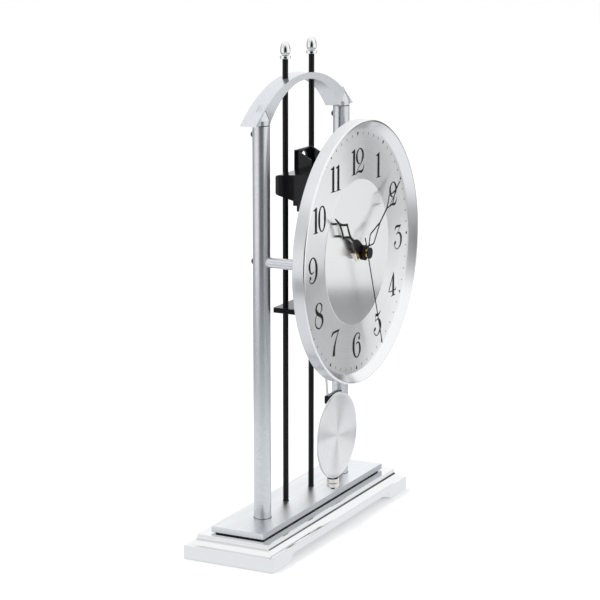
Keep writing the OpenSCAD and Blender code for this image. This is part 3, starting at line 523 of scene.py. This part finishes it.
DIGITS = {
    "0": ([[(0, 8.6, 0.8), (-2.6, 7.2, 1.6), (-4.1, 3.8, 2.6), (-4.3, 0, 3.0), (-4.1, -3.8, 2.6),
            (-2.6, -7.2, 1.6), (0, -8.6, 0.8), (2.6, -7.2, 1.6), (4.1, -3.8, 2.6), (4.3, 0, 3.0),
            (4.1, 3.8, 2.6), (2.6, 7.2, 1.6), (0, 8.6, 0.8)]], []),
    "1": ONE,
    "2": ([[(0.2, -2.2, 0.5), (-2.5, -1.4, 1.3), (-4.6, 1.0, 2.6), (-5.1, 3.8, 2.6), (-4.0, 6.7, 1.6),
            (-0.4, 8.5, 0.7), (2.9, 7.2, 1.6), (4.8, 4.5, 2.6), (4.7, 2.0, 2.8), (2.9, -0.6, 1.5),
            (0.7, -2.7, 0.7), (-2.9, -5.2, 0.6), (-5.8, -8.2, 0.6)],
           [(-5.8, -8.5, 0.4), (-3.2, -7.4, 1.1), (-0.7, -7.4, 1.6), (2.2, -7.9, 1.9),
            (4.4, -7.1, 1.5), (5.8, -5.3, 0.8), (6.2, -3.3, 0.3)]], []),
    "3": ([[(-5.3, 6.0, 0.5), (-4.9, 7.0, 1.3), (-3.4, 8.1, 1.7), (-0.7, 8.2, 1.7), (2.5, 7.9, 1.5),
            (5.0, 8.4, 0.4)],
           [(4.6, 8.1, 0.5), (1.1, 5.2, 0.5), (-2.0, 2.6, 0.5)],
           [(-3.2, 2.4, 0.6), (-0.2, 3.2, 1.0), (3.0, 2.3, 1.8), (5.1, -0.2, 2.8), (5.4, -3.4, 2.8),
            (3.7, -6.6, 1.7), (-0.7, -8.6, 0.7), (-4.3, -7.2, 0.8), (-6.2, -4.6, 0.9),
            (-5.2, -3.0, 1.2)]],
          [(-4.6, -3.4, 1.3)]),
    "4": ([[(1.9, 8.2, 0.9), (1.8, 5.0, 2.6), (1.7, 0, 3.1), (1.7, -8.2, 3.1)],
           [(2.2, 8.6, 0.5), (-2.3, 1.3, 1.3), (-5.4, -3.5, 1.0), (-6.4, -4.6, 0.5)],
           [(-6.5, -4.6, 0.6), (-2.5, -5.0, 0.8), (2.9, -4.9, 0.8), (5.4, -5.0, 1.0),
            (6.2, -4.2, 0.9), (6.3, -2.9, 0.3)],
           [(-2.2, -8.75, 0.35), (0, -8.4, 0.8), (1.75, -8.1, 1.6), (3.5, -8.4, 0.8),
            (5.6, -8.75, 0.35)]], []),
    "5": ([[(-3.2, 6.9, 2.1), (-0.4, 6.5, 1.9), (1.8, 6.5, 1.6), (4.0, 7.6, 0.9), (5.4, 8.6, 0.3)],
           [(-3.6, 6.4, 0.5), (-3.3, 2.3, 0.45)],
           [(-3.3, 2.3, 0.8), (-1.8, 3.0, 0.7), (0.7, 3.3, 1.0), (3.3, 2.1, 1.7), (5.0, -0.7, 2.7),
            (5.0, -3.4, 2.7), (3.5, -6.3, 1.8), (0, -8.5, 0.8), (-3.6, -7.3, 0.9), (-5.7, -4.6, 0.9),
            (-4.6, -3.1, 1.1)]],
          [(-3.9, -3.3, 1.35)]),
    "6": SIX,
    "7": ([[(-6.2, 5.2, 0.4), (-5.1, 6.6, 1.5), (-3.1, 7.9, 1.7), (0.5, 8.1, 1.4), (4.2, 8.1, 1.5),
            (6.7, 8.6, 0.4)],
           [(5.4, 7.9, 0.5), (3.1, 5.2, 1.0), (0.5, 1.2, 1.7), (-1.6, -3.6, 2.9), (-2.3, -8.8, 3.6)]], []),
    "8": ([[(1.6, 8.6, 0.8), (-1.1, 8.8, 0.8), (-3.8, 7.4, 1.8), (-4.6, 5.1, 2.5), (-3.0, 2.5, 2.8),
            (0.2, 0.8, 2.6), (3.4, -0.8, 2.8), (5.2, -3.4, 2.8), (4.8, -6.1, 2.2), (2.5, -8.2, 1.2),
            (-0.2, -8.8, 0.9), (-4.1, -6.9, 1.2), (-5.8, -3.6, 1.1), (-5.0, -0.4, 0.8),
            (-2.2, 2.0, 0.6)],
           [(1.4, 8.65, 0.8), (3.7, 6.7, 1.5), (3.9, 4.2, 1.3), (1.8, 1.6, 0.7)]], []),
    "9": ([[(-x, -z, w) for x, z, w in line] for line in SIX[0]], [(-x, -z, r) for x, z, r in SIX[1]]),
}
# how far each digit's middle lies from the number's middle
NUMBERS = {n: [(str(n), 0)] for n in range(1, 10)}
NUMBERS[10] = [("1", -5.0), ("0", 4.1)]
NUMBERS[11] = [("1", -3.9), ("1", 3.9)]
NUMBERS[12] = [("1", -5.6), ("2", 3.7)]
NUMBER_RX = 68.4
NUMBER_RZ = 66.2
TOP_NUMBER_RZ = 64.6
PRINT_DROP = 0.9
INK = 0.05 * MM
# each stroke of a number stands this much further out than the one before, so no two share a plane
INK_STEP = 0.002 * MM


def add_numbers():
    for number, digits in NUMBERS.items():
        bm = bmesh.new()
        turn = math.radians(30 * number)
        x0 = DIAL.x + NUMBER_RX * math.sin(turn) * MM
        reach = TOP_NUMBER_RZ if number == 12 else NUMBER_RZ
        z0 = DIAL.z + (reach * math.cos(turn) - PRINT_DROP) * MM
        layer = 0
        for digit, shift in digits:
            strokes, dots = DIGITS[digit]
            for points in strokes:
                layer += 1
                front = DIAL_FRONT - INK - layer * INK_STEP
                pen_stroke(bm, points, (x0 + shift * MM, z0), front, DIAL_FRONT)
            for x, z, radius in dots:
                layer += 1
                ring = [(x0 + (shift + x + radius * math.cos(a)) * MM, z0 + (z + radius * math.sin(a)) * MM)
                        for a in (2 * math.pi * i / 24 for i in range(24))]
                slab(bm, ring, DIAL_FRONT - INK - layer * INK_STEP, DIAL_FRONT)
        finish_piece(f"number_{number}", bm, "stand", "hand_black", material=DIAL_PRINT)


def add_minute_track():
    ticks = bmesh.new()
    wedges = bmesh.new()
    for minute in range(60):
        turn = math.radians(6 * minute)
        out = Vector((math.sin(turn), math.cos(turn)))
        side = Vector((out.y, -out.x))
        if minute % 5:
            shape, inner, outer, thick = ticks, 81.6, 83.6, 0.5
            outline = [out * inner - side * thick / 2, out * outer - side * thick / 2,
                       out * outer + side * thick / 2, out * inner + side * thick / 2]
        else:
            shape = wedges
            outline = [out * 81.3, out * 84.0 - side * 1.3, out * 84.0 + side * 1.3]
        slab(shape, [(DIAL.x + p.x * MM, DIAL.z + p.y * MM) for p in outline], DIAL_FRONT - INK, DIAL_FRONT)
    finish_piece("minute_ticks", ticks, "stand", "hand_black", material=TRACK_PRINT)
    finish_piece("hour_wedges", wedges, "stand", "hand_black", material=DIAL_PRINT)


# ---- detailed pieces ----

def ring_profile(inner, outer, depth, chamfer):
    """A closed outline for a ring with chamfered outer edges; heights run along Y."""
    return [(inner, 0), (outer - chamfer, 0), (outer, chamfer), (outer, depth - chamfer),
            (outer - chamfer, depth), (inner, depth)]


def add_bob():
    """Spun disc with a raised rim and fine turned grooves on its face."""
    low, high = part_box("bob")
    radius = (high.x - low.x) / 2
    thick = high.y - low.y
    face = 0.35 * MM
    rim = radius - 0.7 * MM
    start = radius - 2 * MM
    core = 1.5 * MM
    grooves = 44
    step = (start - core) / grooves
    profile = [(0, face)]
    for k in range(grooves):
        r = core + k * step
        profile += [(r, face), (r + step * 0.5, face + 0.012 * MM)]
    profile += [(start, face), (rim - 0.4 * MM, 0.12 * MM), (rim, 0), (radius - 0.2 * MM, 0),
                (radius, 0.25 * MM), (radius, thick - 0.2 * MM), (radius - 0.2 * MM, thick), (0, thick)]
    turned_piece("bob_disc", profile, (BOB.x, low.y, BOB.z), "bob", "bob_silver", segments=192,
                 replaces=("bob",))


def add_rating_nuts():
    """Two knurled nuts on the pendulum's threaded end."""
    low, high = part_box("rating_nuts")
    centre = (low + high) / 2
    outer = (high.x - low.x) / 2
    bore = 1.56 * MM
    teeth = 36
    chamfer = 0.35 * MM
    half_gap = 0.12 * MM
    heights = ((low.z, centre.z - half_gap), (centre.z + half_gap, high.z))
    bm = bmesh.new()
    for bottom, top in heights:
        levels = ((bottom, chamfer), (bottom + chamfer, 0), (top - chamfer, 0), (top, chamfer))
        rings = []
        for z, inset in levels:
            ring = []
            for i in range(2 * teeth):
                a = math.pi * i / teeth
                r = outer - inset - (0.22 * MM if i % 2 else 0)
                ring.append(bm.verts.new((centre.x + r * math.cos(a), centre.y + r * math.sin(a), z)))
            rings.append(ring)
        for z in (top, bottom):
            rings.append([bm.verts.new((centre.x + bore * math.cos(math.pi * i / teeth),
                                        centre.y + bore * math.sin(math.pi * i / teeth), z))
                          for i in range(2 * teeth)])
        for a, b in zip(rings, rings[1:] + rings[:1]):
            for i in range(2 * teeth):
                j = (i + 1) % (2 * teeth)
                bm.faces.new((a[i], a[j], b[j], b[i]))
    finish_piece("knurled_nuts", bm, "rating_nut", "nickel", ("rating_nuts",), angle=20)


def add_hub():
    """Brass collars that hold the hands; each stops short of the tip of the next tube, which turns."""
    hour_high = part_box("hour_hand")[1]
    minute_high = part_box("minute_hand")[1]
    second_low, second_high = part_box("second_hand")
    hour_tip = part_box("hour_wheel")[0].y
    minute_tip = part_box("centre_wheel")[0].y
    gap = 0.06 * MM
    # name, body, inner and outer radius in millimetres, front and back along Y
    rings = (
        ("hour_collar", "hour_train", 2.5, 3.9, hour_high.y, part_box("centre_bush")[0].y - gap),
        ("minute_collar", "minute_train", 1.6, 3.5, minute_high.y, hour_tip - gap),
        ("second_collar", "second_train", 0.6, 3.1, second_high.y, minute_tip - gap),
        ("cap_collar", "second_train", 2.25, 3.2, second_low.y + 1.02 * MM, second_high.y - 0.32 * MM),
    )
    for name, body, inner, outer, front, back in rings:
        profile = ring_profile(inner * MM, outer * MM, back - front, 0.08 * MM)
        turned_piece(name, profile, (DIAL.x, front, DIAL.z), body, "brass", segments=64)
    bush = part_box("centre_bush")[0]
    threads = []
    pitch = 0.28 * MM
    for k in range(3):
        threads += [(4.0 * MM, k * pitch), (4.25 * MM, (k + 0.5) * pitch)]
    profile = [(3.0 * MM, 0)] + threads + [(4.0 * MM, 3 * pitch), (3.0 * MM, 3 * pitch)]
    turned_piece("bush_thread", profile, (DIAL.x, bush.y + 0.03 * MM, DIAL.z), "stand", "brass", segments=96)


def add_cell():
    """A plain AA cell with a sleeve, a bare rim and a contact button."""
    low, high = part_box("battery")
    centre = (low + high) / 2
    radius = (high.x - low.x) / 2
    length = high.z - low.z
    sleeve = [(0, 0), (radius - 1.2 * MM, 0), (radius - 0.9 * MM, 0.5 * MM), (radius - 0.15 * MM, 0.7 * MM),
              (radius, 1.0 * MM), (radius, length - 2.3 * MM), (radius - 0.3 * MM, length - 1.7 * MM),
              (2.6 * MM, length - 1.5 * MM), (2.6 * MM, length - 0.3 * MM), (2.3 * MM, length), (0, length)]
    made = turned_piece("cell", sleeve, (centre.x, centre.y, low.z), "stand", "cell_sleeve", axis="Z",
                        segments=96, replaces=("battery",))
    made.data.materials.append(MATERIALS["nickel"])
    for face in made.data.polygons:
        height = face.center.z - low.z
        if height < 0.9 * MM or height > length - 2.0 * MM:
            face.material_index = 1


def add_column_collars():
    """A dark ring of painted shade in the thin gap where each column meets its arch foot."""
    for side in ("left", "right"):
        low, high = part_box("column_" + side)
        radius = (high.x - low.x) / 2 - 0.35 * MM
        gap = 0.6 * MM
        profile = [(radius - 1.2 * MM, 0), (radius, 0), (radius, gap), (radius - 1.2 * MM, gap)]
        turned_piece(f"gap_shade_ring_{side}", profile, ((low.x + high.x) / 2, (low.y + high.y) / 2, high.z),
                     "stand", "shadow_black", axis="Z", segments=96)


def add_foot_rings():
    """A dark ring of painted shade round the foot of each column and rod, where it goes into the plate."""
    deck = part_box("base_plate")[1].z
    for node in ("column_left", "column_right", "rod_left", "rod_right"):
        low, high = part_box(node)
        radius = (high.x - low.x) / 2
        profile = [(radius - 0.3 * MM, -0.1 * MM), (radius + 0.35 * MM, -0.1 * MM),
                   (radius + 0.35 * MM, 0.12 * MM), (radius - 0.3 * MM, 0.3 * MM)]
        turned_piece("foot_shade_ring_" + node, profile, ((low.x + high.x) / 2, (low.y + high.y) / 2, deck),
                     "stand", "shadow_black", axis="Z", segments=96)


# ---- the scene ----

# only the edges round the front and back faces of these are rounded
OUTLINED = ("arch", "dial_bezel")
# this one's flat faces stay as the CAD's triangles: joined into one, they ran across its bore
BORED = ("centre_nut",)
SOFTENED = {
    "base_plinth": 0.5 * MM, "base_moulding": 0.25 * MM, "base_plate": 0.6 * MM, "arch": 0.5 * MM,
    "dial_bezel": 0.3 * MM, "centre_nut": 0.15 * MM, "case_front": 0.5 * MM, "case_back": 0.3 * MM,
    "drive_housing": 0.5 * MM, "hour_hand": 0.07 * MM, "minute_hand": 0.07 * MM, "second_hand": 0.06 * MM,
    "pendulum_hanger": 0.3 * MM, "wire_holder": 0.3 * MM, "bob_guide": 0.3 * MM, "base_spacer": 0.1 * MM,
}


def room_piece(name, bm, material):
    """Makes an object of the room, not of the clock."""
    mesh = bpy.data.meshes.new(name)
    bm.to_mesh(mesh)
    bm.free()
    mesh.materials.append(material)
    made = bpy.data.objects.new(name, mesh)
    bpy.context.scene.collection.objects.link(made)
    return made


def add_stage():
    """A pale floor, and a glowing card that only mirrors see, whose painted shade, darker further out,
    stands for the shaded floor and gives the tone low in the dial.
    """
    white = plain("floor_white", (0.93, 0.93, 0.93), 0.7, spread=0.01, grain=200, height=1e-5)
    bm = bmesh.new()
    bmesh.ops.create_grid(bm, x_segments=8, y_segments=8, size=9)
    floor = room_piece("floor", bm, white)
    floor.visible_glossy = False

    card_shade = bpy.data.materials.new("glowing_card_painted_shade")
    card_shade.use_nodes = True
    tree = card_shade.node_tree
    glow = tree.nodes.new("ShaderNodeEmission")
    coords = tree.nodes.new("ShaderNodeTexCoord")
    reach = tree.nodes.new("ShaderNodeVectorMath")
    reach.operation = "LENGTH"
    shift = tree.nodes.new("ShaderNodeVectorMath")
    shift.inputs[1].default_value = (0.06, -0.02, 0)
    tree.links.new(coords.outputs["Object"], shift.inputs[0])
    tree.links.new(shift.outputs["Vector"], reach.inputs[0])
    ramp = tree.nodes.new("ShaderNodeValToRGB")
    # painted shade: the card glows darker with distance from a point near the clock
    for place, tone in ((0.32, 0.95), (0.46, 0.50), (0.72, 0.42), (0.90, 0.27)):
        spot = ramp.color_ramp.elements.new(place)
        spot.color = (tone, tone * 1.01, tone * 1.03, 1)
    ramp.color_ramp.elements.remove(ramp.color_ramp.elements[0])
    ramp.color_ramp.elements.remove(ramp.color_ramp.elements[-1])
    tree.links.new(reach.outputs["Value"], ramp.inputs["Fac"])
    tree.links.new(ramp.outputs["Color"], glow.inputs["Color"])
    tree.links.new(glow.outputs["Emission"], tree.nodes["Material Output"].inputs["Surface"])
    bm = bmesh.new()
    bmesh.ops.create_circle(bm, cap_ends=True, radius=0.86, segments=128)
    table = room_piece("glowing_reflection_card", bm, card_shade)
    table.location.z = -0.5 * MM
    table.visible_camera = False
    table.visible_diffuse = False
    table.visible_shadow = False


for node, ob in frame["nodes"].items():
    for place in range(len(ob.data.materials)):
        ob.data.materials[place] = MATERIALS[SLOT_OF[node]]
for node, width in SOFTENED.items():
    softened(node, width)
add_numbers()
add_minute_track()
add_bob()
add_rating_nuts()
add_hub()
add_cell()
add_column_collars()
add_foot_rings()
add_camera()
add_world()
add_stage()
add_light("key", (-1.1, 1.0, 2.1), (1.4, 1.4), 22)
add_light("fill", (0.7, -1.9, 1.3), (1.6, 1.0), 12)
bpy.context.scene.view_settings.view_transform = "Standard"
